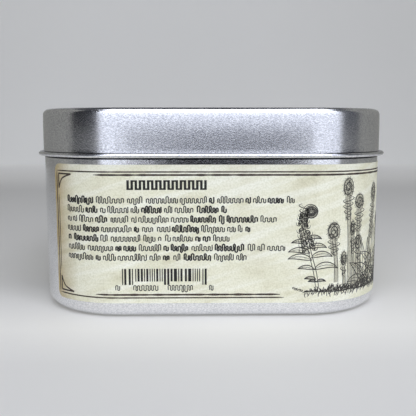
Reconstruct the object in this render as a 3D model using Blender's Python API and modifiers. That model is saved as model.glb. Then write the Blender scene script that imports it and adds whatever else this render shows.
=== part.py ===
"""Square slip-lid tin with a paper label round it.

A seamless body drawn from tinplate, a slip lid whose lower edge is curled outwards, and a
paper label glued round the body's wall. Metres, +Z up; the origin is at the middle of the
base, level with the ring that the tin stands on, and the label's front faces -Y.
"""
import math

import bmesh
import bpy
from mathutils import Vector

MM = 0.001

# Driving dimensions
LID_SIDE = 104.8 * MM         # outside the lid's skirt, 4 1/8 in
TIN_HEIGHT = 60.0 * MM        # standing ring to lid top
CORNER_RADIUS = 25.4 * MM     # outside the lid's skirt, 1 in
SHEET = 0.25 * MM             # tinplate thickness
FIT_GAP = 0.3 * MM            # clearance between neighbouring pieces

# Lid
LID_EDGE_RADIUS = 1.8 * MM    # fillet between the lid's top and its skirt
LID_PANEL_MARGIN = 7.0 * MM   # from the skirt to the foot of the sunk top panel
PANEL_STEP_WIDTH = 0.7 * MM   # width of the sloping step round a sunk panel
LID_PANEL_DEPTH = 0.5 * MM
CURL_BOTTOM = 46.1 * MM       # height of the curled edge's underside
CURL_REACH = 1.5 * MM         # how far the curl stands out from the skirt
CURL_HEIGHT = 1.3 * MM
CURL_TURN = 295               # degrees that the edge rolls, from the skirt round and back

# Body
BODY_INSET = 0.28 * MM        # the lid's skirt stands this far out from the body's wall
BASE_RADIUS = 4.0 * MM
BASE_PANEL_MARGIN = 11.0 * MM
BASE_PANEL_DEPTH = 0.8 * MM
NECK_START = 46.2 * MM        # the wall steps in here, to pass inside the lid
NECK_END = 46.9 * MM
MOUTH_CURL_RADIUS = 0.7 * MM
MOUTH_CURL_TURN = 230         # degrees that the mouth's edge turns inwards and down

# Label; lengths along the wall are counted from the middle of the front, + towards +X
LABEL_PAPER = 0.12 * MM
LABEL_BOTTOM = 4.6 * MM
LABEL_TOP = 44.2 * MM
LABEL_START = -48.2 * MM
LABEL_LENGTH = 340.0 * MM
LABEL_CORNER = 2.3 * MM
LABEL_CORNER_ROOM = 3.1 * MM   # no facet edge comes nearer to the label's ends than this

# Facets
CORNER_STEPS = 8              # facets round each of the four corners
FILLET_STEPS = 4
CURL_STEPS = 8
MOUTH_CURL_STEPS = 6
LABEL_CORNER_STEPS = 4
SHARP_ANGLE = math.radians(40.0)

# Derived
LID_HALF = LID_SIDE / 2
CORNER_CENTRE = LID_HALF - CORNER_RADIUS    # every ring's corner arcs share these centres
BODY_HALF = LID_HALF - BODY_INSET
NECK_HALF = LID_HALF - SHEET - FIT_GAP
MOUTH_TOP = TIN_HEIGHT - LID_PANEL_DEPTH - SHEET - FIT_GAP

# Plain colours, roughness and metallic values
TINPLATE = ((0.60, 0.62, 0.64), 0.32, 1.0)
LABEL_STOCK = ((0.78, 0.77, 0.62), 0.65, 0.0)


def clear_scene():
    for old in list(bpy.data.objects):
        bpy.data.objects.remove(old)


def make_material(name, colour, roughness, metallic):
    material = bpy.data.materials.new(name)
    material.use_nodes = True
    shader = material.node_tree.nodes["Principled BSDF"]
    shader.inputs["Base Color"].default_value = (*colour, 1.0)
    shader.inputs["Roughness"].default_value = roughness
    shader.inputs["Metallic"].default_value = metallic
    return material


def add_object(name, bm, material, collection):
    """Turn bm into a smooth-shaded object with this name and material."""
    mesh = bpy.data.meshes.new(name)
    bm.to_mesh(mesh)
    bm.free()
    mesh.materials.append(material)
    mesh.shade_smooth()
    mesh.set_sharp_from_angle(angle=SHARP_ANGLE)
    part = bpy.data.objects.new(name, mesh)
    collection.objects.link(part)
    return part


def thicken(part, thickness, offset):
    """Give an open sheet its thickness: offset -1 grows it inwards, 1 outwards."""
    sheet = part.modifiers.new("sheet", "SOLIDIFY")
    sheet.thickness = thickness
    sheet.offset = offset
    sheet.use_even_offset = True


def arc(centre, radii, first_degrees, last_degrees, steps):
    """Points (half width, height) after the first one, along an arc of a wall's section."""
    points = []
    for i in range(1, steps + 1):
        angle = math.radians(first_degrees + (last_degrees - first_degrees) * i / steps)
        points.append((centre[0] + radii[0] * math.cos(angle),
                       centre[1] + radii[1] * math.sin(angle)))
    return points


def start_panel(bm, half, height, facing_up):
    """Leave one flat rounded-square face: the top or the bottom of a block."""
    bmesh.ops.create_cube(bm, size=2 * half)
    uprights = [e for e in bm.edges if abs(e.verts[0].co.z - e.verts[1].co.z) > half]
    bmesh.ops.bevel(bm, geom=uprights, offset=half - CORNER_CENTRE, segments=CORNER_STEPS,
                    profile=0.5, affect="EDGES")
    side = 1.0 if facing_up else -1.0
    others = [f for f in bm.faces if f.normal.z * side < 0.9]
    bmesh.ops.delete(bm, geom=others, context="FACES")
    for vert in bm.verts:
        vert.co.z = height


def place_ring(ring, half, height):
    """Move a ring of points to the rounded square of this half width, at this height."""
    for vert in ring:
        flat = vert.co.xy
        centre = Vector((math.copysign(CORNER_CENTRE, flat.x),
                         math.copysign(CORNER_CENTRE, flat.y)))
        vert.co.xy = centre + (flat - centre).normalized() * (half - CORNER_CENTRE)
        vert.co.z = height


def draw_shell(name, section, facing_up, material, collection):
    """A shell drawn from flat sheet: a panel, then a ring of wall for each section point."""
    bm = bmesh.new()
    start_panel(bm, *section[0], facing_up)
    for half, height in section[1:]:
        rim = [edge for edge in bm.edges if edge.is_boundary]
        added = bmesh.ops.extrude_edge_only(bm, edges=rim)["geom"]
        place_ring([g for g in added if isinstance(g, bmesh.types.BMVert)], half, height)
    part = add_object(name, bm, material, collection)
    thicken(part, SHEET, offset=-1.0)
    return part


def make_body(material, collection):
    panel_half = BODY_HALF - BASE_PANEL_MARGIN
    wall_foot = (BODY_HALF - BASE_RADIUS, BASE_RADIUS)
    mouth = (NECK_HALF - MOUTH_CURL_RADIUS, MOUTH_TOP - MOUTH_CURL_RADIUS)
    section = [(panel_half, BASE_PANEL_DEPTH),
               (panel_half + PANEL_STEP_WIDTH, 0.0),
               (wall_foot[0], 0.0)]
    section += arc(wall_foot, (BASE_RADIUS, BASE_RADIUS), -90, 0, FILLET_STEPS)
    section += [(BODY_HALF, NECK_START), (NECK_HALF, NECK_END), (NECK_HALF, mouth[1])]
    section += arc(mouth, (MOUTH_CURL_RADIUS, MOUTH_CURL_RADIUS), 0, MOUTH_CURL_TURN,
                   MOUTH_CURL_STEPS)
    return draw_shell("tin_body", section, False, material, collection)


def make_lid(material, collection):
    panel_half = LID_HALF - LID_PANEL_MARGIN
    shoulder = (LID_HALF - LID_EDGE_RADIUS, TIN_HEIGHT - LID_EDGE_RADIUS)
    roll_width = (CURL_REACH + SHEET) / 2
    roll_height = CURL_HEIGHT / 2
    roll = (LID_HALF - SHEET + roll_width, CURL_BOTTOM + roll_height)
    section = [(panel_half, TIN_HEIGHT - LID_PANEL_DEPTH),
               (panel_half + PANEL_STEP_WIDTH, TIN_HEIGHT),
               (shoulder[0], TIN_HEIGHT)]
    section += arc(shoulder, (LID_EDGE_RADIUS, LID_EDGE_RADIUS), 90, 0, FILLET_STEPS)
    section += [(LID_HALF, roll[1])]
    section += arc(roll, (roll_width - SHEET, roll_height - SHEET), 180, 180 + CURL_TURN,
                   CURL_STEPS)
    return draw_shell("lid", section, True, material, collection)


def wall_point(along, half):
    """The place on a rounded-square wall this far along it from the middle of the front."""
    side = 2 * CORNER_CENTRE
    radius = half - CORNER_CENTRE
    quarters, rest = divmod(along + CORNER_CENTRE, side + radius * math.pi / 2)
    if rest < side:
        x, y = rest - CORNER_CENTRE, -half
    else:
        turn = (rest - side) / radius
        x = CORNER_CENTRE + radius * math.sin(turn)
        y = -CORNER_CENTRE - radius * math.cos(turn)
    for _ in range(int(quarters) % 4):
        x, y = -y, x
    return x, y


def label_columns(half):
    """Distances along the wall of the label's columns: its ends and each corner's facets."""
    side = 2 * CORNER_CENTRE
    bend = (half - CORNER_CENTRE) * math.pi / 2
    end = LABEL_START + LABEL_LENGTH
    first, last = LABEL_START + LABEL_CORNER_ROOM, end - LABEL_CORNER_ROOM
    facets = []
    for quarter in range(-1, 4):
        bend_start = CORNER_CENTRE + quarter * (side + bend)
        facets += [bend_start + bend * i / CORNER_STEPS for i in range(CORNER_STEPS + 1)]
    return [LABEL_START, first, *sorted(c for c in facets if first < c < last), last, end]


def make_label(material, collection):
    half = BODY_HALF + FIT_GAP
    columns = label_columns(half)
    bm = bmesh.new()
    bmesh.ops.create_grid(bm, x_segments=len(columns) - 1, y_segments=1, size=0.5)
    bm.verts.ensure_lookup_table()
    corners = [v for v in bm.verts if abs(v.co.x) > 0.499]
    for vert in bm.verts:
        column = round((vert.co.x + 0.5) * (len(columns) - 1))
        height = LABEL_TOP if vert.co.y > 0 else LABEL_BOTTOM
        vert.co = (*wall_point(columns[column], half), height)
    bmesh.ops.bevel(bm, geom=corners, offset=LABEL_CORNER, segments=LABEL_CORNER_STEPS,
                    profile=0.5, affect="VERTICES")
    bmesh.ops.recalc_face_normals(bm, faces=bm.faces)
    part = add_object("label", bm, material, collection)
    thicken(part, LABEL_PAPER, offset=1.0)
    return part


def main():
    clear_scene()
    collection = bpy.data.collections.new("square_slip_lid_tin")
    bpy.context.scene.collection.children.link(collection)
    tinplate = make_material("tinplate", *TINPLATE)
    make_body(tinplate, collection)
    make_lid(tinplate, collection)
    make_label(make_material("label_paper", *LABEL_STOCK), collection)


main()
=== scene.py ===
"""Finished look of a closed, rounded-square slip-lid tin.

Two drawn tinplate shells, body and lid, and a strip of aged paper label whose print is laid
on it as thin ink. Metres; the frame's axes: +Z up through the lid, -Y the face with the
small print. Places along the label are in millimetres, counted from the middle of that face.
"""
import math
import random

import bmesh
import bpy
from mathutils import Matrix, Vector, noise


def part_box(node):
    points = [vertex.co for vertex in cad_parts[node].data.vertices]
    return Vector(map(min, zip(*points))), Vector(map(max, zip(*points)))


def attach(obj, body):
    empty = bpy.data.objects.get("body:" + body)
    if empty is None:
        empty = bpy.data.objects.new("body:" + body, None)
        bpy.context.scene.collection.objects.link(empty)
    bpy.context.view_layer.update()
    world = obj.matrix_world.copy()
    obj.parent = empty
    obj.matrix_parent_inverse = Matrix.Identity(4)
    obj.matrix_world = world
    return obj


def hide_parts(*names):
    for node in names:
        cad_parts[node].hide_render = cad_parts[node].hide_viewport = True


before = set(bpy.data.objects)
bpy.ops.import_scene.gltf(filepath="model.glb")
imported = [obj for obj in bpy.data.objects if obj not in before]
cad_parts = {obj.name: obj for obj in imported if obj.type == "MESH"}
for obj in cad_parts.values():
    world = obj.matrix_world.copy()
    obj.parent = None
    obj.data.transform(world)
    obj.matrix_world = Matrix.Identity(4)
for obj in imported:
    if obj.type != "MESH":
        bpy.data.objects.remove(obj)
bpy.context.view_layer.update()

MM = 0.001

# ---------------------------------------------------------------- sizes, from the frame
BODY_LOW, BODY_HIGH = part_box("tin_body")
LID_LOW, LID_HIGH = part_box("lid")
LABEL_LOW, LABEL_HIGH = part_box("label")

SHEET = 0.25 * MM                 # tinplate thickness
CURL_REACH = 1.5 * MM             # the lid's curled edge stands out this far from its skirt
CORNER_RADIUS = 25.4 * MM         # in plan, outside the skirt
FIT_GAP = 0.3 * MM

LID_EDGE_RADIUS = 1.8 * MM
LID_PANEL_MARGIN = 7.0 * MM       # from the skirt to the foot of the lid's sunk panel
LID_FLARE = 0.5 * MM              # sets how far the drawn skirt leans out towards its foot
LID_UPRIGHT = 0.62                # share of the way down the skirt where it stands upright
SKIRT_FOOT_UP = 1.43 * MM         # the skirt ends this far above the curl's underside
CURL_BEND = 0.3 * MM              # radius of the hollow bend from the skirt to the roll
ROLL_HALF_WIDTH = 0.64 * MM
ROLL_HALF_HEIGHT = 0.62 * MM

BASE_RADIUS = 4.0 * MM
BASE_PANEL_MARGIN = 11.0 * MM     # from the wall to the foot of the base's sunk panel
NECK_START = 46.2 * MM            # the wall steps in here, to pass inside the lid
NECK_END = 46.9 * MM
MOUTH_ROLL = 0.7 * MM             # radius of the mouth's inward roll

# The eased step round a sunk panel: mm out from the panel's foot, and mm of depth there.
LID_PANEL_STEP = ((-0.3, 0.5), (0.0, 0.5), (0.3, 0.42), (0.7, 0.08), (1.0, 0.0), (1.3, 0.0))
BASE_PANEL_STEP = ((-0.3, 0.8), (0.0, 0.8), (0.3, 0.68), (0.8, 0.12), (1.1, 0.0), (1.4, 0.0))

LID_HALF = LID_HIGH.x - CURL_REACH
TIN_HEIGHT = LID_HIGH.z
CURL_BOTTOM = LID_LOW.z
CORNER_CENTRE = LID_HALF - CORNER_RADIUS
BODY_HALF = BODY_HIGH.x
NECK_HALF = LID_HALF - SHEET - FIT_GAP
MOUTH_TOP = BODY_HIGH.z
LABEL_BOTTOM = LABEL_LOW.z / MM
LABEL_TOP = LABEL_HIGH.z / MM

CORNER_STEPS = 24                 # columns round each corner of the shells
SIDE_STEPS = 14                   # columns along each flat side


# ---------------------------------------------------------------- materials
def linear(hex_colour):
    """An sRGB hex colour as linear RGBA."""
    values = [int(hex_colour[i:i + 2], 16) / 255 for i in (1, 3, 5)]
    return [c / 12.92 if c <= 0.04045 else ((c + 0.055) / 1.055) ** 2.4 for c in values] + [1.0]


def node(tree, kind, links=None, inputs=None, stops=None, **settings):
    """Add a node of this kind with its settings, input values and links to its inputs.

    stops holds the (position, hex colour) pairs of a colour ramp.
    """
    made = tree.nodes.new(kind)
    for key, value in settings.items():
        setattr(made, key, value)
    for key, value in (inputs or {}).items():
        made.inputs[key].default_value = value
    for key, source in (links or {}).items():
        tree.links.new(source, made.inputs[key])
    if stops:
        elements = made.color_ramp.elements
        while len(elements) < len(stops):
            elements.new(0.5)
        for element, (position, hex_colour) in zip(elements, stops):
            element.position = position
            element.color = linear(hex_colour)
    return made


def new_material(name):
    """A material with its node tree and its shader."""
    material = bpy.data.materials.new(name)
    material.use_nodes = True
    tree = material.node_tree
    return material, tree, tree.nodes["Principled BSDF"]


def matt_tinplate(name, pit_colour, smooth, rough, painted_shade_height, painted_shade_half):
    """Tinplate with a matt tin coat: cold-rolled steel, tinned on a blasted roll, then drawn.

    A soft, broad metal shine, broken up by a fine sparkle from the blasted roll's pits. A dark
    line of painted shade runs round it at the given height, by the lid's curl, for the shade there.
    """
    material, tree, shader = new_material(name)
    place = node(tree, "ShaderNodeTexCoord").outputs["Object"]
    # The pits are about 0.05 mm across, too fine to show, so they are drawn 0.5 mm across.
    flattened = node(tree, "ShaderNodeMapping", {"Vector": place}, {"Scale": (1, 1, 1.8)})
    pits = node(tree, "ShaderNodeTexNoise", {"Vector": flattened.outputs["Vector"]},
                {"Scale": 1 / (0.52 * MM), "Detail": 2.0, "Roughness": 0.7}).outputs["Fac"]
    pitted = node(tree, "ShaderNodeValToRGB", {"Fac": pits},
                  stops=[(0.30, pit_colour), (0.68, "#FCFCFE")])
    height = node(tree, "ShaderNodeSeparateXYZ", {"Vector": place}).outputs["Z"]
    # Painted shade: a dark band of colour at the given height, standing in for the shade by the lid's
    # curl.
    in_painted_shade = node(tree, "ShaderNodeMath", {0: height}, {1: painted_shade_height, 2: painted_shade_half},
                   operation="COMPARE")
    with_painted_shade = node(tree, "ShaderNodeMix",
                 {"Factor": in_painted_shade.outputs["Value"], "A": pitted.outputs["Color"]},
                 {"B": linear("#3C3D42")}, data_type="RGBA")
    tree.links.new(with_painted_shade.outputs["Result"], shader.inputs["Base Color"])
    # Drawing rubs the coat smoother in patches about 14 mm across.
    clouds = node(tree, "ShaderNodeTexNoise", {"Vector": place},
                  {"Scale": 1 / (14 * MM), "Detail": 3.0}).outputs["Fac"]
    cloudy = node(tree, "ShaderNodeMapRange", {"Value": clouds},
                  {"From Min": 0.3, "From Max": 0.7, "To Min": smooth, "To Max": rough})
    tree.links.new(cloudy.outputs["Result"], shader.inputs["Roughness"])
    grain = node(tree, "ShaderNodeBump", {"Height": pits},
                 {"Strength": 0.5, "Distance": 0.035 * MM})
    tree.links.new(grain.outputs["Normal"], shader.inputs["Normal"])
    shader.inputs["Metallic"].default_value = 1.0
    return material


def aged_label_paper():
    """Uncoated cream label paper printed with a tint of old parchment.

    Dull and slightly fibrous, mottled like tea stains, brown towards its two ends, with soft
    pale streaks running up to the right. The pattern is laid out in millimetres on the label.
    """
    material, tree, shader = new_material("label_paper_aged")
    layout = node(tree, "ShaderNodeAttribute", attribute_name="label_mm").outputs["Vector"]
    from_end = node(tree, "ShaderNodeSeparateXYZ", {"Vector": layout}).outputs["Z"]
    flat = node(tree, "ShaderNodeMapping", {"Vector": layout},
                {"Scale": (1, 1, 0)}).outputs["Vector"]
    # The stains are about 11 mm across, and the streaks 30 mm long and 2.4 mm wide.
    stains = node(tree, "ShaderNodeTexNoise", {"Vector": flat},
                  {"Scale": 1 / 11.0, "Detail": 6.0, "Roughness": 0.62}).outputs["Fac"]
    stained = node(tree, "ShaderNodeValToRGB", {"Fac": stains},
                   stops=[(0.30, "#DCD7B9"), (0.46, "#ECE9CF"), (0.66, "#F5F3DD")])
    slanted = node(tree, "ShaderNodeMapping", {"Vector": flat},
                   {"Rotation": (0, 0, math.radians(17)), "Scale": (30.0, 2.4, 1.0)},
                   vector_type="TEXTURE")
    streaks = node(tree, "ShaderNodeTexNoise", {"Vector": slanted.outputs["Vector"]},
                   {"Scale": 1.0, "Detail": 2.0, "Roughness": 0.45})
    pale = node(tree, "ShaderNodeMapRange", {"Value": streaks.outputs["Fac"]},
                {"From Min": 0.44, "From Max": 0.66, "To Min": 0.0, "To Max": 0.75})
    streaked = node(tree, "ShaderNodeMix",
                    {"Factor": pale.outputs["Result"], "A": stained.outputs["Color"]},
                    {"B": linear("#FCFBEC")}, data_type="RGBA")
    # Paper fibre is about 0.05 mm wide, too fine to show, so it is drawn 0.5 mm wide.
    fibre = node(tree, "ShaderNodeTexNoise", {"Vector": flat},
                 {"Scale": 1 / 0.5, "Detail": 3.0}).outputs["Fac"]
    fibre_tint = node(tree, "ShaderNodeValToRGB", {"Fac": fibre},
                      stops=[(0.35, "#F0F0EA"), (0.6, "#FFFFFF")])
    fibred = node(tree, "ShaderNodeMix",
                  {"A": streaked.outputs["Result"], "B": fibre_tint.outputs["Color"]},
                  {"Factor": 1.0}, data_type="RGBA", blend_type="MULTIPLY")
    # The browning fades out over the last 9 mm at each end.
    near_end = node(tree, "ShaderNodeMapRange", {"Value": from_end},
                    {"From Min": 0.0, "From Max": 9.0, "To Min": 1.7, "To Max": 0.0})
    patchy = node(tree, "ShaderNodeMath", {0: near_end.outputs["Result"], 1: stains},
                  operation="MULTIPLY", use_clamp=True)
    browned = node(tree, "ShaderNodeMix",
                   {"Factor": patchy.outputs["Value"], "A": fibred.outputs["Result"]},
                   {"B": linear("#C4AF8A")}, data_type="RGBA", blend_type="MULTIPLY")
    tree.links.new(browned.outputs["Result"], shader.inputs["Base Color"])
    relief = node(tree, "ShaderNodeBump", {"Height": fibre},
                  {"Strength": 0.15, "Distance": 0.03 * MM})
    tree.links.new(relief.outputs["Normal"], shader.inputs["Normal"])
    shader.inputs["Roughness"].default_value = 0.62
    shader.inputs["IOR"].default_value = 1.5
    return material


def printing_ink(name, thin, full):
    """Litho ink on uncoated paper: flat, dull and a little uneven where the paper took less."""
    material, tree, shader = new_material(name)
    place = node(tree, "ShaderNodeTexCoord").outputs["Object"]
    # Uneven take-up shows as patches 0.4 mm across, a few fibres wide.
    take_up = node(tree, "ShaderNodeTexNoise", {"Vector": place},
                   {"Scale": 1 / (0.4 * MM), "Detail": 2.0})
    tint = node(tree, "ShaderNodeValToRGB", {"Fac": take_up.outputs["Fac"]},
                stops=[(0.35, full), (0.75, thin)])
    tree.links.new(tint.outputs["Color"], shader.inputs["Base Color"])
    shader.inputs["Roughness"].default_value = 0.6
    shader.inputs["IOR"].default_value = 1.5
    return material


# ---------------------------------------------------------------- tinplate shells
def arc(centre, radius, first, last, steps, high=None):
    """Section points (half width, height) along an arc, or an oval of this height; degrees."""
    high = high or radius
    turns = [math.radians(first + (last - first) * i / steps) for i in range(steps + 1)]
    return [(centre[0] + radius * math.cos(t), centre[1] + high * math.sin(t)) for t in turns]


def outline(half):
    """Points round a rounded square of this half width, each with its outward direction."""
    points = []
    for quarter in range(4):
        turn = quarter * math.pi / 2
        side = [(-CORNER_CENTRE + 2 * CORNER_CENTRE * i / SIDE_STEPS, -half, 0.0)
                for i in range(SIDE_STEPS)]
        bend = []
        for i in range(CORNER_STEPS):
            angle = math.pi / 2 * i / CORNER_STEPS
            reach = half - CORNER_CENTRE
            bend.append((CORNER_CENTRE + reach * math.sin(angle),
                         -CORNER_CENTRE - reach * math.cos(angle), angle))
        for x, y, lean in side + bend:
            around = turn + lean
            points.append((Vector((x * math.cos(turn) - y * math.sin(turn),
                                   x * math.sin(turn) + y * math.cos(turn))),
                           Vector((math.sin(around), -math.cos(around)))))
    return points


PANEL_RINGS = (0.12, 0.3, 0.5, 0.7, 0.86)    # rings across a panel, as shares of its width


def drawn_shell(name, section, up):
    """A shell lofted through rings, from its middle panel out and round to its free edge.

    section holds the outer face's (half width, height) points, and the sheet grows inwards
    from it. up is 1 where the panel faces up and -1 where it faces down.
    """
    bm = bmesh.new()
    rings = []
    first_half, first_height = section[0]
    for share in PANEL_RINGS:
        rings.append([bm.verts.new((*(p * share), first_height)) for p, _ in outline(first_half)])
    for half, height in section:
        rings.append([bm.verts.new((*p, height)) for p, _ in outline(half)])
    bm.faces.new(rings[0])
    for inner, outer in zip(rings, rings[1:]):
        for i in range(len(inner)):
            j = (i + 1) % len(inner)
            bm.faces.new((inner[i], outer[i], outer[j], inner[j]))
    bmesh.ops.recalc_face_normals(bm, faces=bm.faces)
    middle = min(bm.faces, key=lambda f: f.calc_center_median().xy.length)
    if middle.normal.z * up < 0:
        bmesh.ops.reverse_faces(bm, faces=bm.faces)
    mesh = bpy.data.meshes.new(name)
    bm.to_mesh(mesh)
    bm.free()
    mesh.shade_smooth()
    shell = bpy.data.objects.new(name, mesh)
    bpy.context.scene.collection.objects.link(shell)
    sheet = shell.modifiers.new("sheet", "SOLIDIFY")
    sheet.thickness = SHEET
    sheet.offset = -1
    sheet.use_even_offset = True
    return shell


def lid_section():
    """The lid's outer face: sunk top panel, rounded edge, skirt, then over and under the curl."""
    panel = LID_HALF - LID_PANEL_MARGIN
    corner = LID_EDGE_RADIUS
    support = 0.5 * MM            # a ring this far in keeps the flat top flat up to its edge
    section = [(panel + out * MM, TIN_HEIGHT - depth * MM) for out, depth in LID_PANEL_STEP]
    section.append((LID_HALF - corner - support, TIN_HEIGHT))
    narrower = LID_FLARE * (LID_UPRIGHT ** 3 + (1 - LID_UPRIGHT) ** 3)
    section += arc((LID_HALF - narrower - corner, TIN_HEIGHT - corner), corner, 90, 3, 12)
    skirt_top, skirt_foot = TIN_HEIGHT - corner, CURL_BOTTOM + SKIRT_FOOT_UP
    rings = 12
    for i in range(1, rings + 1):
        share = i / rings
        flare = LID_FLARE * ((share - LID_UPRIGHT) ** 3 - (1 - LID_UPRIGHT) ** 3)
        section.append((LID_HALF + flare, skirt_top + (skirt_foot - skirt_top) * share))
    section += arc((LID_HALF + CURL_BEND, skirt_foot), CURL_BEND, 190, 245, 6)
    roll = (LID_HALF + CURL_REACH - ROLL_HALF_WIDTH, CURL_BOTTOM + ROLL_HALF_HEIGHT)
    section += arc(roll, ROLL_HALF_WIDTH, 115, -165, 26, ROLL_HALF_HEIGHT)
    return section


def body_section():
    """The body's outer face, from the sunk base panel up to the mouth's inward curl."""
    panel = BODY_HALF - BASE_PANEL_MARGIN
    section = [(panel + out * MM, depth * MM) for out, depth in BASE_PANEL_STEP]
    section += arc((BODY_HALF - BASE_RADIUS, BASE_RADIUS), BASE_RADIUS, -90, 0, 14)
    section += [(BODY_HALF, height * MM) for height in (4.3, 8, 14, 20, 26, 32, 38, 43, 46.1)]
    section += [(BODY_HALF, NECK_START), (NECK_HALF, NECK_END)]
    section += [(NECK_HALF, height * MM) for height in (47.1, 50)]
    section += arc((NECK_HALF - MOUTH_ROLL, MOUTH_TOP - MOUTH_ROLL), MOUTH_ROLL, 0, 230, 12)
    return section


# ---------------------------------------------------------------- label
LABEL_START = -48.2               # mm along the wall from the middle of the front
LABEL_LENGTH = 340.0              # mm
LABEL_END = LABEL_START + LABEL_LENGTH
LABEL_CORNER = 2.3                # mm, radius of the strip's cut corners
LABEL_ROWS = 14                   # grid rows up the strip
LABEL_COLUMNS = 330               # grid columns between the cut corners
LABEL_CORNER_COLUMNS = 8          # grid columns across each pair of cut corners
PAPER = 0.12 * MM                 # thickness
GLUE = 0.02 * MM                  # gap between the wall and the paper
INK_RISE = 0.03 * MM              # how far the ink stands proud of the paper
WASH_RISE = 0.018 * MM            # the same for the grey wash under the ink


def on_wall(along, height, out):
    """The place of label millimetres (along, height), this far out from the body's wall."""
    half = BODY_HALF + out
    side = 2 * CORNER_CENTRE
    flat_reach = BODY_HALF - CORNER_CENTRE
    quarters, rest = divmod(along * MM + CORNER_CENTRE, side + flat_reach * math.pi / 2)
    if rest < side:
        x, y = rest - CORNER_CENTRE, -half
    else:
        turn = (rest - side) / flat_reach
        x = CORNER_CENTRE + (half - CORNER_CENTRE) * math.sin(turn)
        y = -CORNER_CENTRE - (half - CORNER_CENTRE) * math.cos(turn)
    for _ in range(int(quarters) % 4):
        x, y = -y, x
    return Vector((x, y, height * MM))


def link_mesh(name, vertices, faces, material):
    """Put a mesh of this material into the scene."""
    mesh = bpy.data.meshes.new(name)
    mesh.from_pydata(vertices, [], faces)
    mesh.materials.append(material)
    made = bpy.data.objects.new(name, mesh)
    bpy.context.scene.collection.objects.link(made)
    return made


def label_sheet(material):
    """The paper strip: a grid wrapped round the wall, its ends cut with rounded corners."""
    rows = LABEL_ROWS
    ends = [LABEL_CORNER * (1 - math.cos(math.pi / 2 * i / LABEL_CORNER_COLUMNS))
            for i in range(LABEL_CORNER_COLUMNS)]
    between = LABEL_LENGTH - 2 * LABEL_CORNER
    inner = [LABEL_CORNER + between * i / LABEL_COLUMNS for i in range(LABEL_COLUMNS + 1)]
    columns = ends + inner + [LABEL_LENGTH - e for e in reversed(ends)]
    faces, layout = [], []
    points = {"outer": [], "inner": []}
    for c in columns:
        near = min(c, LABEL_LENGTH - c)
        short = max(0.0, LABEL_CORNER - near)
        cut = LABEL_CORNER - math.sqrt(max(LABEL_CORNER ** 2 - short ** 2, 0.0))
        low, high = LABEL_BOTTOM + cut, LABEL_TOP - cut
        for r in range(rows + 1):
            height = low + (high - low) * r / rows
            layout.append((LABEL_START + c, height, near))
            points["outer"].append(on_wall(LABEL_START + c, height, GLUE + PAPER))
            points["inner"].append(on_wall(LABEL_START + c, height, GLUE))
    total = len(layout)
    step = rows + 1
    last = len(columns) - 1
    for c in range(last):
        for r in range(rows):
            a, b = c * step + r, (c + 1) * step + r
            faces.append((a, b, b + 1, a + 1))
            faces.append((total + a, total + a + 1, total + b + 1, total + b))
        for edge_row, flip in ((0, False), (rows, True)):
            a, b = c * step + edge_row, (c + 1) * step + edge_row
            rim = (a, total + a, total + b, b)
            faces.append(rim[::-1] if flip else rim)
    for column, flip in ((0, True), (last, False)):
        for r in range(rows):
            a = column * step + r
            rim = (a, total + a, total + a + 1, a + 1)
            faces.append(rim[::-1] if flip else rim)
    sheet = link_mesh("label_sheet", points["outer"] + points["inner"], faces, material)
    attribute = sheet.data.attributes.new("label_mm", "FLOAT_VECTOR", "POINT")
    attribute.data.foreach_set("vector", [v for place in layout + layout for v in place])
    sheet.data.shade_smooth()
    sheet.data.set_sharp_from_angle(angle=math.radians(40))
    return sheet


def smooth_path(points, spacing=0.35):
    """Points every spacing mm or so along a smooth curve through the given ones."""
    padded = [points[0], *points, points[-1]]
    path = []
    for p0, p1, p2, p3 in zip(padded, padded[1:], padded[2:], padded[3:]):
        steps = max(1, round(math.dist(p1, p2) / spacing))
        for i in range(steps):
            t = i / steps
            path.append(tuple(
                0.5 * (2 * b + (c - a) * t + (2 * a - 5 * b + 4 * c - d) * t * t
                       + (3 * b - a - 3 * c + d) * t ** 3)
                for a, b, c, d in zip(p0, p1, p2, p3)))
    path.append(tuple(points[-1]))
    return path


def straight(start, end, spacing=0.8):
    """Points every spacing mm or so from start to end."""
    steps = max(1, round(math.dist(start, end) / spacing))
    return [(start[0] + (end[0] - start[0]) * i / steps, start[1] + (end[1] - start[1]) * i / steps)
            for i in range(steps + 1)]


def beside(path, i, reach):
    """The place this far to the left of the path's point i, seen along the path."""
    ahead, behind = path[min(i + 1, len(path) - 1)], path[max(i - 1, 0)]
    dx, dy = ahead[0] - behind[0], ahead[1] - behind[1]
    length = math.hypot(dx, dy) or 1.0
    return path[i][0] - dy / length * reach, path[i][1] + dx / length * reach


def ink_piece(name, strokes, material, rise=INK_RISE, across=1):
    """Thin closed ribbons of ink on the paper; a stroke is (path, width or widths) in mm.

    A wide ribbon takes more than one strip across, so that it follows the wall's bend.
    """
    vertices, faces = [], []
    base = GLUE + PAPER
    ring = 2 * (across + 1)
    for path, width in strokes:
        widths = width if isinstance(width, (list, tuple)) else [width] * len(path)
        first = len(vertices)
        for i in range(len(path)):
            row = [beside(path, i, widths[i] * (0.5 - k / across)) for k in range(across + 1)]
            vertices += [on_wall(*place, base + rise) for place in row]
            vertices += [on_wall(*place, base) for place in reversed(row)]
        for i in range(len(path) - 1):
            a, b = first + ring * i, first + ring * (i + 1)
            for k in range(ring):
                n = (k + 1) % ring
                faces.append((a + k, a + n, b + n, b + k))
        end = first + ring * (len(path) - 1)
        faces.append([first + k for k in reversed(range(ring))])
        faces.append([end + k for k in range(ring)])
    return link_mesh(name, vertices, faces, material)


def pen(path, width, tip=0.35):
    """A stroke that thins towards both ends, down to tip times its width."""
    last = len(path) - 1
    swell = [min(1.0, 4 * i / last, 4 * (last - i) / last) for i in range(last + 1)]
    return path, [width * (tip + (1 - tip) * share) for share in swell]


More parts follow.
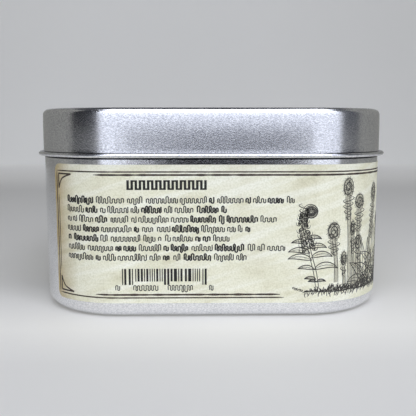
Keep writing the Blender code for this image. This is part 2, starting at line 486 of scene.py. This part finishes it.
# ---------------------------------------------------------------- frame round the label
# All in mm on the label.
SIDE_LINE_IN = 1.1                # outer side lines, in from the label's ends
SIDE_LINES_APART = 0.85           # from an outer side line to its inner one
TOP_LINE_IN = 2.0                 # outer top line, in from the label's edge
INNER_TOP_IN = 2.85
BOTTOM_LINE_IN = 1.6
INNER_BOTTOM_IN = 2.5
FRONT_INSET = -33.6               # the thick inner lines start here on the front
FAR_INSET = 13.0                  # and stop this far short of the other end
FRONT_BREAK = (20.3, 80.0)        # the bottom lines leave out this stretch, where the plants stand
THIN_RULE, THICK_RULE, SIDE_RULE = 0.38, 0.52, 0.26
ORNAMENT_REACH = 5.2              # from a corner to the ornament's tips
ORNAMENT_LEG, ORNAMENT_BOW = 0.46, 0.44      # widths of its two straight sides and hollow one


def ruled(start, end, width, rng, worn=0.3):
    """A ruled line whose width swells and thins a little, as worn printing does."""
    path = straight(start, end)
    seed = rng.uniform(0, 50)
    widths = [width * (1 + worn * noise.noise((seed + i * 0.35, 0, 0))) for i in range(len(path))]
    for i in range(min(3, len(path) // 2)):
        widths[i] *= (i + 0.6) / 3
        widths[-1 - i] *= (i + 0.6) / 3
    return path, widths


def frame_strokes(rng):
    """Double ruled frame, its corners filled by three-sided ornaments with a hollow long side."""
    left, right = LABEL_START + SIDE_LINE_IN, LABEL_END - SIDE_LINE_IN
    top, bottom = LABEL_TOP - TOP_LINE_IN, LABEL_BOTTOM + BOTTOM_LINE_IN
    inner_left, inner_right = left + SIDE_LINES_APART, right - SIDE_LINES_APART
    inner_top, inner_bottom = LABEL_TOP - INNER_TOP_IN, LABEL_BOTTOM + INNER_BOTTOM_IN
    far_end = inner_right - FAR_INSET
    strokes = [ruled((left, top), (right, top), THIN_RULE, rng),
               ruled((left, top + 0.1), (left, bottom - 0.1), THIN_RULE, rng),
               ruled((right, top + 0.1), (right, bottom - 0.1), THIN_RULE, rng),
               ruled((FRONT_INSET, inner_top), (far_end, inner_top), THICK_RULE, rng, 0.6)]
    for x in (inner_left, inner_right):
        strokes.append(ruled((x, inner_top - 6), (x, inner_bottom + 6), SIDE_RULE, rng))
    for start, end in ((left, FRONT_BREAK[0]), (FRONT_BREAK[1], right)):
        inset = FRONT_INSET if start == left else start + 1.2
        outset = far_end if end == right else end - 1.1
        strokes.append(ruled((start, bottom), (end, bottom), THIN_RULE, rng))
        strokes.append(ruled((inset, inner_bottom), (outset, inner_bottom), THICK_RULE, rng, 0.6))
    for x, sx in ((inner_left, 1), (inner_right, -1)):
        for y, sy in ((inner_top, -1), (inner_bottom, 1)):
            tip_x, tip_y = (x + sx * ORNAMENT_REACH, y), (x, y + sy * ORNAMENT_REACH * 0.8)
            bow = (x + sx * ORNAMENT_REACH * 0.30, y + sy * ORNAMENT_REACH * 0.27)
            strokes.append((straight((x, y), tip_x), ORNAMENT_LEG))
            strokes.append((straight((x, y), tip_y), ORNAMENT_LEG))
            strokes.append((smooth_path([tip_x, bow, tip_y]), ORNAMENT_BOW))
    return strokes


# ---------------------------------------------------------------- small print, as scribble
def scribbled_word(start, end, base, low, tall, width, pitch, rng):
    """A word stood for by one run of close upright strokes joined by turns; it spells nothing."""
    points = []
    x, level = start, base
    while x < end or len(points) < 4:
        points.append((x, level))
        if level > base + low / 2:
            level = base + (-0.4 if rng.random() < 0.08 else rng.uniform(-0.04, 0.06))
        else:
            level = base + (tall if rng.random() < 0.25 else low * rng.uniform(0.92, 1.04))
        points.append((x, level))
        x += pitch * rng.uniform(0.75, 1.2)
    return smooth_path(points, 0.26), width


LINE_STEP = 2.72                  # mm between lines
SMALL_PRINT_LEFT = -42.5
LOW_STROKE, TALL_STROKE = 1.05, 1.55         # mm, heights of the scribble's uprights
PLAIN_PEN, BOLD_PEN = 0.3, 0.42              # mm, widths of the scribble's line
STROKE_PITCH = 0.56               # mm between uprights


def small_print(left, first_base, ends, rng):
    """Lines of scribbled words, some of them bold."""
    strokes = []
    for line, end in enumerate(ends):
        base = first_base - LINE_STEP * line
        x = left + rng.uniform(0, 0.3)
        bold = line in (0, 4)
        while x < end - 1.0:
            stop = min(x + rng.choice((1.3, 2.2, 3.4, 4.6, 6.0, 8.0)) * rng.uniform(0.9, 1.1), end)
            strokes.append(scribbled_word(x, stop, base, LOW_STROKE, TALL_STROKE,
                                          BOLD_PEN if bold else PLAIN_PEN, STROKE_PITCH, rng))
            x = stop + (0.85 if bold else 0.75)
            bold = rng.random() < 0.38
    return strokes


def heading_band(left, right, low, high, count):
    """A bold heading stood for by a square meander: thick uprights linked at top and foot."""
    strokes = []
    pitch = (right - left) / count
    link = 0.44                   # mm, width of the line that joins two uprights
    for i in range(count):
        x = left + pitch * (i + 0.5)
        strokes.append((straight((x, low), (x, high)), pitch * 0.62))
        level = high - link / 2 if i % 2 else low + link / 2
        if i < count - 1:
            strokes.append((straight((x, level), (x + pitch, level)), link))
    return strokes


def bar_strokes(left, right, top, short, long, rng):
    """A block of upright bars of mixed widths, with longer guard bars; it codes nothing."""
    strokes = []
    module = (right - left) / 78  # width of the narrowest bar
    x = left
    while x < right - module:
        share = (x - left) / (right - left)
        guard = share < 0.12 or share > 0.90 or 0.47 < share < 0.53
        wide = rng.choice((1, 1, 2, 2, 3)) * module
        strokes.append((straight((x + wide / 2, top), (x + wide / 2, long if guard else short)),
                        wide * 0.95))
        x += wide + rng.choice((1, 1, 2)) * module
    return strokes


def text_strokes(rng):
    """The front's small print and its heading, then a block of small print on the left side."""
    strokes = small_print(SMALL_PRINT_LEFT, 33.6, (23.2, 4.4, 18.0, 10.9, 4.7, 20.6, 9.3), rng)
    strokes += heading_band(-24.4, -1.6, 37.2, 39.9, 20)
    for start, end in ((-27.7, -26.6), (-22.6, -15.6), (-12.8, -5.6), (-1.0, 0.1)):
        strokes.append(scribbled_word(start, end, 8.5, 1.2, 1.2, 0.27, 0.55, rng))
    strokes += small_print(250.0, 33.6, (282.0, 276.0, 284.0, 270.0, 280.0, 262.0), rng)
    strokes += heading_band(256.0, 274.0, 37.2, 39.9, 16)
    return strokes


# ---------------------------------------------------------------- plants, as pen drawing
GROUND = 7.7                      # height of the ground line on the label


def bent_line(root, angle, length, bend, steps=9):
    """Points along a line that starts at this angle and turns by bend, in degrees."""
    points = [root]
    for i in range(steps):
        turn = math.radians(angle + bend * (i + 0.5) / steps)
        x, y = points[-1]
        points.append((x + math.cos(turn) * length / steps, y + math.sin(turn) * length / steps))
    return points


def leaf(root, angle, length, breadth, bend):
    """A lance-shaped leaf: two edges and a midrib."""
    spine = bent_line(root, angle, length, bend)
    last = len(spine) - 1
    strokes = [pen(spine, 0.14)]
    for side in (breadth, -breadth):
        edge = [beside(spine, i, side * math.sin(math.pi * (i / last) ** 0.8))
                for i in range(last + 1)]
        strokes.append(pen(edge, 0.27, 0.6))
    for i in range(2, last - 1, 2):
        strokes.append(pen([spine[i], beside(spine, i + 1, breadth * 0.6)], 0.1))
    return strokes


def spiral(centre, start, outer, turns, squash=1.0):
    """An inward spiral; start in degrees, turns negative for clockwise."""
    steps = max(6, round(abs(turns) * 14))
    path = []
    for i in range(steps + 1):
        t = i / steps
        angle = math.radians(start) + 2 * math.pi * turns * t
        reach = outer * (1 - 0.86 * t)
        path.append((centre[0] + reach * squash * math.cos(angle),
                     centre[1] + reach * math.sin(angle)))
    return path


def wrapped_scales(low, high, half, rng):
    """Overlapping bracts up a stalk, each a pair of short hooked strokes."""
    strokes = []
    steps = max(3, round(math.dist(low, high) / 0.75))
    for i in range(steps):
        t = i / steps
        x = low[0] + (high[0] - low[0]) * t
        y = low[1] + (high[1] - low[1]) * t
        girth = half * (0.55 + 0.6 * t) * rng.uniform(0.85, 1.15)
        out = girth if i % 2 else -girth
        hook = [(x - out * 0.6, y), (x + out * 0.5, y + 0.35), (x + out * 1.15, y + 1.0),
                (x + out * 0.6, y + 1.5)]
        strokes.append(pen(smooth_path(hook, 0.3), 0.24))
        strokes.append(pen([(x + out * 0.2, y + 0.5), (x + out * 0.7, y + 1.2)], 0.18))
    return strokes


def curled_head(centre, half, high, rng):
    """A fiddlehead's tight head: outline, spiral and many small curls."""
    squash = half / high
    strokes = [pen(spiral(centre, -80, high, 2.45, squash), 0.3)]
    for _ in range(round(half * high * 7)):
        angle, reach = rng.uniform(0, 360), math.sqrt(rng.uniform(0.02, 0.82))
        x = centre[0] + half * reach * math.cos(math.radians(angle))
        y = centre[1] + high * reach * math.sin(math.radians(angle))
        strokes.append(pen(spiral((x, y), angle + 90, rng.uniform(0.3, 0.55), 0.55), 0.2))
    for angle in range(0, 360, 24):
        lean = math.radians(angle + rng.uniform(-8, 8))
        x, y = centre[0] + half * 0.93 * math.cos(lean), centre[1] + high * 0.93 * math.sin(lean)
        tip = (x + 0.5 * math.cos(lean + 0.7), y + 0.5 * math.sin(lean + 0.7))
        strokes.append(pen([(x, y), tip], 0.2))
    return strokes


def fiddlehead(base, neck, half, high, girth, rng, wrap=0.3):
    """A fern shoot: a bare stalk, wrapped in bracts near the top, under a curled head.

    Returns its pen strokes and the strokes of the grey wash beneath them.
    """
    lean = ((neck[0] - base[0]) * 0.18 + base[0], base[1] + (neck[1] - base[1]) * 0.5)
    stalk = smooth_path([base, lean, neck], 1.2)
    last = len(stalk) - 1
    strokes = []
    for side in (0.5, -0.5):
        edge = [beside(stalk, i, side * girth * (1.15 - 0.4 * i / last)) for i in range(last + 1)]
        strokes.append(pen(edge, 0.2, 0.7))
    for i in range(0, last, 2):
        strokes.append(pen([beside(stalk, i, girth * 0.3), beside(stalk, i + 1, girth * 0.12)], 0.13))
    split = (neck[0] + (base[0] - neck[0]) * wrap, neck[1] + (base[1] - neck[1]) * wrap)
    strokes += wrapped_scales(split, (neck[0], neck[1] - 0.6), half * 0.8, rng)
    centre = (neck[0], neck[1] + high * 0.85)
    strokes += curled_head(centre, half, high, rng)
    wash = [(stalk, [girth * (0.8 - 0.3 * i / last) for i in range(last + 1)]),
            (straight(split, neck), half * 1.1), oval_ribbon(centre, half * 0.94, high * 0.94)]
    return strokes, wash


def oval_ribbon(centre, half, high):
    """An upright ribbon whose widths swell to fill an oval."""
    steps = 12
    path = [(centre[0], centre[1] - high * math.cos(math.pi * i / steps)) for i in range(steps + 1)]
    return path, [max(0.1, 2 * half * math.sin(math.pi * i / steps)) for i in range(steps + 1)]


def curled_fern(base, rng):
    """A fern opening: leaves in pairs up a leaning stem, then small curls, then a spiral tip."""
    x, y = base
    stem = smooth_path([(x, y), (x - 0.8, y + 4.6), (x - 2.1, y + 9.4), (x - 3.4, y + 14.6),
                        (x - 4.4, y + 18.2), (x - 4.3, y + 21.4)], 0.7)
    last = len(stem) - 1
    strokes = []
    for side in (0.36, -0.36):
        edge = [beside(stem, i, side * (1.25 - 0.5 * i / last)) for i in range(last + 1)]
        strokes.append(pen(edge, 0.21, 0.8))
    # Height up the stem, then the lengths of the leaves on its left and right, in mm.
    leaves = ((1.6, 2.6, 3.0), (2.6, 3.6, 0.0), (5.2, 5.0, 7.6), (8.0, 7.2, 0.0), (8.8, 0.0, 6.8),
              (10.2, 6.6, 0.0), (11.6, 0.0, 5.6), (12.8, 5.0, 0.0), (13.8, 0.0, 4.6))
    for height, left_size, right_size in leaves:
        root = min(stem, key=lambda p: abs(p[1] - y - height))
        if left_size:
            strokes += leaf(root, 148, left_size, left_size * 0.115, 58)
        if right_size:
            strokes += leaf(root, 38, right_size, right_size * 0.115, -74)
    for i in range(15):
        t = i / 14
        root = stem[round(last * (0.52 + 0.48 * t))]
        side = 1 if i % 2 else -1
        reach = 1.9 * (1 - 0.45 * t)
        strokes += leaf(root, 90 - side * 62, reach * 1.35, reach * 0.28, -side * 120)
        strokes.append(pen(spiral((root[0] + side * reach * 0.9, root[1] - 0.4), 90 - side * 60,
                                  reach * 0.62, -side * 1.1), 0.22))
    tip = stem[-1]
    centre = (tip[0] + 2.0, tip[1] + 0.5)
    strokes.append(pen(spiral(centre, 190, 2.4, -2.3), 0.34))
    strokes.append(pen(spiral(centre, 190, 1.9, -2.0), 0.24))
    strokes += curled_head((centre[0] + 0.2, centre[1]), 1.7, 1.7, rng)
    strokes += wrapped_scales(stem[round(last * 0.78)], (centre[0] - 1.6, centre[1] + 1.6), 1.3, rng)
    wash = [oval_ribbon(centre, 1.9, 1.9), (stem[round(last * 0.7):], 1.3)]
    return strokes, wash


def leaf_clump(root, spread, size, rng):
    """Broad leaves that rise from one root and arch outwards."""
    strokes = []
    for i, lean in enumerate((-0.95, 0.8, -0.5, 0.35, -0.05)):
        long = size * (0.66 + 0.09 * i) * rng.uniform(0.94, 1.06)
        strokes += leaf(root, 90 - lean * spread, long, long * 0.14, -lean * 95)
    return strokes


def ground_line(left, right, rng):
    """A thick uneven line of soil with grass above and root hairs below."""
    steps = round((right - left) / 1.2)
    line = [(left + (right - left) * i / steps, GROUND + 0.35 * noise.noise((i * 0.31, left, 0)))
            for i in range(steps + 1)]
    strokes = [pen(smooth_path(line, 0.8), 0.42, 0.4)]
    x = left + 0.6
    while x < right - 0.6:
        inner = min(1.0, (x - left) / 7, (right - x) / 7)
        for _ in range(2 if inner < 0.6 else 3):
            tall = rng.uniform(0.5, 2.4) * (0.35 + 0.65 * inner)
            blade = bent_line((x + rng.uniform(-0.3, 0.3), GROUND), rng.uniform(42, 118), tall,
                              rng.uniform(-50, 50), 4)
            strokes.append(pen(blade, 0.3))
        hair = bent_line((x, GROUND), rng.uniform(-140, -75), rng.uniform(0.6, 1.8),
                         rng.uniform(-40, 40), 3)
        strokes.append(pen(hair, 0.24))
        x += 0.5
    for i in range(5):
        place = (left - 0.2 - 0.62 * i, GROUND + 0.5 + 0.16 * i)
        strokes.append(pen(spiral(place, rng.uniform(0, 360), 0.42, 1.2), 0.2))
    return strokes


def morel(base, half, tall, rng):
    """A morel in pen: a pitted egg-shaped cap on a short stalk."""
    x, y = base
    foot = tall * 0.36
    strokes, pits = [], []
    for out in (-half, half):
        edge = [(x + out * 0.62, y), (x + out * 0.42, y + foot * 0.5), (x + out * 0.5, y + foot)]
        strokes.append(pen(smooth_path(edge, 0.5), 0.26, 0.7))
    centre = y + foot + (tall - foot) * 0.45
    high = (tall - foot) * 0.56
    for row in range(7):
        level = -0.86 + 0.285 * row
        width = half * math.sqrt(1 - level * level) * (1.08 - 0.28 * level)
        count = max(1, round(width / 0.85))
        for i in range(count):
            offset = (i + 0.5 + (0.25 if row % 2 else -0.25)) / count * 2 - 1
            size = 0.5 * width / count + 0.28
            pits.append(((x + offset * width * 0.86, centre + level * high), size))
    for place, size in pits:
        strokes.append(pen(spiral(place, rng.uniform(0, 360), size * 1.15, 1.25, 0.72), 0.21))
    rim = [(x + half * math.sin(a) * (1.05 + 0.24 * math.cos(a)), centre - high * math.cos(a))
           for a in [math.pi * 2 * i / 30 for i in range(31)]]
    strokes.append((rim, 0.27))
    for _ in range(6):
        start = (x + rng.uniform(-0.3, 0.3) * half, y + rng.uniform(0.1, 0.5) * foot)
        strokes.append(pen([start, (start[0] + rng.uniform(-0.1, 0.1), start[1] + foot * 0.4)], 0.14))
    wash = [oval_ribbon((x, centre), half * 1.02, high), (straight((x, y), (x, y + foot)), half * 0.8)]
    return strokes, wash


def plant_strokes(rng):
    """The row of ferns and shoots on the right of the front, and morels on the back."""
    strokes, wash = curled_fern((29.8, 9.0), rng)
    # Foot and neck on the label, the head's half width and half height, the stalk's girth, all
    # in mm, then the share of the stalk that is wrapped in bracts.
    shoots = ((35.6, 10.2, 34.4, 22.6, 2.2, 3.0, 1.1, 0.36), (40.2, 9.0, 39.0, 34.8, 2.1, 3.2, 1.3, 0.26),
              (43.2, 8.8, 43.6, 31.0, 2.2, 2.6, 1.1, 0.3), (38.4, 8.6, 38.0, 14.6, 1.2, 2.6, 0.9, 0.5),
              (41.8, 8.6, 41.0, 23.0, 1.1, 2.8, 0.9, 0.35), (44.9, 8.6, 43.6, 19.0, 1.9, 2.6, 1.4, 0.3),
              (49.2, 8.6, 52.2, 32.0, 2.3, 3.6, 1.2, 0.45), (58.6, 8.6, 57.2, 24.6, 1.8, 2.3, 0.9, 0.3),
              (64.4, 8.8, 65.6, 34.0, 1.8, 2.5, 1.0, 0.25), (68.4, 8.8, 68.0, 19.0, 1.4, 2.0, 0.8, 0.35))
    for foot_x, foot_y, neck_x, neck_y, half, high, girth, wrap in shoots:
        more, under = fiddlehead((foot_x, foot_y), (neck_x, neck_y), half, high, girth, rng, wrap)
        strokes += more
        wash += under
    for root, spread, size in ((46.6, 40, 12.0), (50.0, 55, 13.0), (54.6, 45, 17.0), (61.4, 50, 12.0),
                               (71.0, 45, 10.0)):
        strokes += leaf_clump((root, 8.8), spread, size, rng)
    more, under = curled_fern((74.0, 9.0), rng)
    strokes += more + ground_line(25.6, 78.5, rng)
    wash += under
    for base_x, half, tall in ((177.0, 4.6, 20.0), (187.0, 6.2, 27.0), (197.5, 5.0, 21.5)):
        more, under = morel((base_x, 9.6), half, tall, rng)
        strokes += more
        wash += under
    strokes += ground_line(166.0, 208.0, rng)
    return strokes, wash


# ---------------------------------------------------------------- assembly
def settle(piece, slot_name, *nodes):
    """Fix a piece to the tin and hide the CAD nodes that it stands for; slot_name is not used."""
    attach(piece, "root")
    if nodes:
        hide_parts(*nodes)


def make_tin():
    """The two tinplate shells, in place of the plain lid and body."""
    lid = drawn_shell("lid_shell", lid_section(), 1)
    # The last two numbers place the band of painted shade in the crease just above the lid's curl.
    lid.data.materials.append(matt_tinplate("tinplate_matt_lid", "#BCBEC4", 0.18, 0.23,
                                            CURL_BOTTOM + 1.26 * MM, 0.11 * MM))
    settle(lid, "tinplate", "lid")
    # The deep-drawn wall is ironed a little smoother than the shallow lid.
    body = drawn_shell("body_shell", body_section(), -1)
    # The last two numbers place the band of painted shade on the wall just under the lid's curl.
    body.data.materials.append(matt_tinplate("tinplate_matt_body", "#D2D3D6", 0.11, 0.15,
                                             CURL_BOTTOM - 0.2 * MM, 0.35 * MM))
    settle(body, "tinplate", "tin_body")


def make_label():
    """The paper strip and the five layers printed on it."""
    rng = random.Random(11)
    settle(label_sheet(aged_label_paper()), "label_paper", "label")
    brown = printing_ink("ink_brown_black", "#5A4A3E", "#2E2520")
    black = printing_ink("ink_black", "#2A2723", "#100F0E")
    grey = printing_ink("ink_grey_black", "#4E4B44", "#24221F")
    wash = printing_ink("ink_grey_wash", "#D6D3BC", "#AEAB97")
    plants, shading = plant_strokes(rng)
    bars = bar_strokes(-25.9, -1.5, 14.7, 11.0, 10.0, rng)
    settle(ink_piece("label_frame_ink", frame_strokes(rng), brown), "label_paper")
    settle(ink_piece("label_text_ink", text_strokes(rng), black), "label_paper")
    settle(ink_piece("label_bars_ink", bars, black), "label_paper")
    settle(ink_piece("label_plants_ink", plants, grey), "label_paper")
    settle(ink_piece("label_plants_wash", shading, wash, WASH_RISE, 4), "label_paper")


# ---------------------------------------------------------------- stage
SWEEP_FLAT = 0.75                 # metres from the tin to where the floor starts to rise
SWEEP_BEND = 0.45                 # metres, radius of the rise
SWEEP_TOP = 1.3                   # metres
CARD_MIDDLE = 0.04                # metres up, where the cards' spheres are centred
CAMERA_PLACE = (-0.0039, -0.2178, 0.0547)
CAMERA_DOWN = 7.78                # degrees below level
CAMERA_TURN = -0.0147             # radians
CAMERA_LENS = 51.6                # mm, on a 36 mm sensor


def toward(azimuth, elevation, distance):
    """A place seen from the tin: azimuth 0 is -Y, + towards +X; degrees and metres."""
    a, e = math.radians(azimuth), math.radians(elevation)
    return Vector((math.sin(a) * math.cos(e), -math.cos(a) * math.cos(e), math.sin(e))) * distance


def card(name, azimuths, elevations, distance, material):
    """A curved panel round the tin, lit or dark; the camera doesn't see it, the tin does."""
    steps = 12
    vertices, faces = [], []
    for i in range(steps + 1):
        azimuth = azimuths[0] + (azimuths[1] - azimuths[0]) * i / steps
        for k in range(steps + 1):
            elevation = elevations[0] + (elevations[1] - elevations[0]) * k / steps
            vertices.append(toward(azimuth, elevation, distance) + Vector((0, 0, CARD_MIDDLE)))
    for i in range(steps):
        for k in range(steps):
            a = i * (steps + 1) + k
            faces.append((a, a + 1, a + steps + 2, a + steps + 1))
    panel = link_mesh(name, vertices, faces, material)
    panel.visible_camera = False


def glowing_cloth(name, colour, strength):
    """White diffusion cloth of a softbox, lit evenly from behind."""
    material, _, shader = new_material(name)
    shader.inputs["Base Color"].default_value = (0.0, 0.0, 0.0, 1.0)
    shader.inputs["Specular IOR Level"].default_value = 0.0
    shader.inputs["Emission Color"].default_value = linear(colour)
    shader.inputs["Emission Strength"].default_value = strength
    return material


def dull_card(name, colour):
    """Painted board, dull all over, that only gives the tin a tone to mirror."""
    material, _, shader = new_material(name)
    shader.inputs["Base Color"].default_value = linear(colour)
    shader.inputs["Roughness"].default_value = 0.9
    return material


def make_sweep():
    """Pale seamless paper floor that curves up into a wall all round.

    It glows a little, and the glow is painted light that changes with depth: a painted pool of
    light just in front of the tin, painted shadow of the tin beside it, and brighter towards the back.
    """
    material, tree, shader = new_material("sweep_paper_white")
    shader.inputs["Base Color"].default_value = linear("#DDDBD6")
    shader.inputs["Roughness"].default_value = 0.6
    shader.inputs["Emission Strength"].default_value = 1.0
    place = node(tree, "ShaderNodeTexCoord").outputs["Object"]
    depth = node(tree, "ShaderNodeSeparateXYZ", {"Vector": place}).outputs["Y"]
    share = node(tree, "ShaderNodeMapRange", {"Value": depth},
                 {"From Min": -0.15, "From Max": 1.05, "To Min": 0.0, "To Max": 1.0})
    # Painted light: these stops give the pool of light in front of the tin, the tin's painted shadow
    # behind it and the brighter back wall.
    painted_light = node(tree, "ShaderNodeValToRGB", {"Fac": share.outputs["Result"]},
                stops=[(0.025, "#2E2F30"), (0.054, "#3A3B3C"), (0.075, "#6A6A68"),
                       (0.0975, "#585857"), (0.115, "#2A2B2C"), (0.375, "#3D3E41"),
                       (0.475, "#68696B"), (0.567, "#757679"), (0.69, "#8C8E91"),
                       (0.917, "#919397")])
    tree.links.new(painted_light.outputs["Color"], shader.inputs["Emission Color"])
    turns = [math.pi / 2 * i / 12 for i in range(13)]
    profile = [(0.0, 0.0), (SWEEP_FLAT * 0.5, 0.0)]
    profile += [(SWEEP_FLAT + SWEEP_BEND * math.sin(t), SWEEP_BEND * (1 - math.cos(t))) for t in turns]
    profile.append((SWEEP_FLAT + SWEEP_BEND, SWEEP_TOP))
    mesh = bpy.data.meshes.new("sweep")
    edges = [(i, i + 1) for i in range(len(profile) - 1)]
    mesh.from_pydata([(x, 0, z) for x, z in profile], edges, [])
    sweep = bpy.data.objects.new("sweep", mesh)
    bpy.context.scene.collection.objects.link(sweep)
    turned = sweep.modifiers.new("turned", "SCREW")
    turned.steps = turned.render_steps = 64
    turned.use_smooth_shade = True
    turned.merge_threshold = 0.0001
    turned.use_merge_vertices = True
    mesh.materials.append(material)


def set_cards():
    """Softbox cloths and dark or pale boards round the tin, for it to mirror."""
    left_cloth = glowing_cloth("softbox_cloth_left", "#EDF2FF", 1.2)
    right_cloth = glowing_cloth("softbox_cloth_right", "#EDF2FF", 1.15)
    cloth = glowing_cloth("softbox_cloth_front", "#EDF2FF", 1.8)
    above = glowing_cloth("softbox_cloth_above", "#F6F8FF", 3.2)
    high_cloth = glowing_cloth("softbox_cloth_high", "#EDF2FF", 3.3)
    black = dull_card("flag_card_black", "#141519")
    dark = dull_card("flag_card_dark", "#26272A")
    grey = dull_card("flag_card_grey", "#66686C")
    pale = dull_card("side_card_pale", "#BDBBB2")
    # Name, azimuths and elevations that it spans in degrees, distance in metres, material.
    for setting in (("front_left_box", (-30, -4), (-3.5, 12), 0.62, left_cloth),
                    ("front_right_box", (9, 51), (-3.5, 12), 0.62, right_cloth),
                    ("front_low_box", (-4, 9), (0, 12), 0.62, right_cloth),
                    ("front_middle_box", (-30, 51), (12, 30), 0.62, cloth),
                    ("front_high_box", (-30, 51), (30, 56), 0.62, high_cloth),
                    ("above_box", (-48, 80), (58, 77), 0.45, above),
                    ("front_flag", (-11, 17), (-1.5, 3), 0.27, black),
                    ("front_low_flag", (-7.5, 12.5), (-8.3, -1.5), 0.27, black),
                    ("low_flag", (-8, 13), (-11.7, -1.5), 0.19, black),
                    ("left_flag", (-68, -33), (0, 60), 0.58, dark),
                    ("right_flag", (54, 80), (0.5, 60), 0.58, grey),
                    ("left_side_card", (-150, -68), (-3.5, 50), 0.58, pale),
                    ("right_side_card", (80, 150), (-3.5, 50), 0.58, pale)):
        card(*setting)


def dim_the_room():
    """A dim grey room; the cards and the sweep's glow give nearly all the light."""
    world = bpy.data.worlds.new("dim_room")
    bpy.context.scene.world = world
    world.use_nodes = True
    background = world.node_tree.nodes["Background"]
    background.inputs["Color"].default_value = linear("#B4B8BE")
    background.inputs["Strength"].default_value = 0.12


def set_camera():
    """Camera in front of the label, just below the lid's top and looking slightly down."""
    camera = bpy.data.cameras.new("camera")
    camera.lens = CAMERA_LENS
    camera.sensor_width = 36.0
    camera.clip_start = 0.01
    holder = bpy.data.objects.new("camera", camera)
    holder.location = CAMERA_PLACE
    holder.rotation_euler = (math.radians(90 - CAMERA_DOWN), 0, CAMERA_TURN)
    bpy.context.scene.collection.objects.link(holder)
    bpy.context.scene.camera = holder
    bpy.context.scene.view_settings.view_transform = "Standard"


make_tin()
make_label()
make_sweep()
set_cards()
dim_the_room()
set_camera()
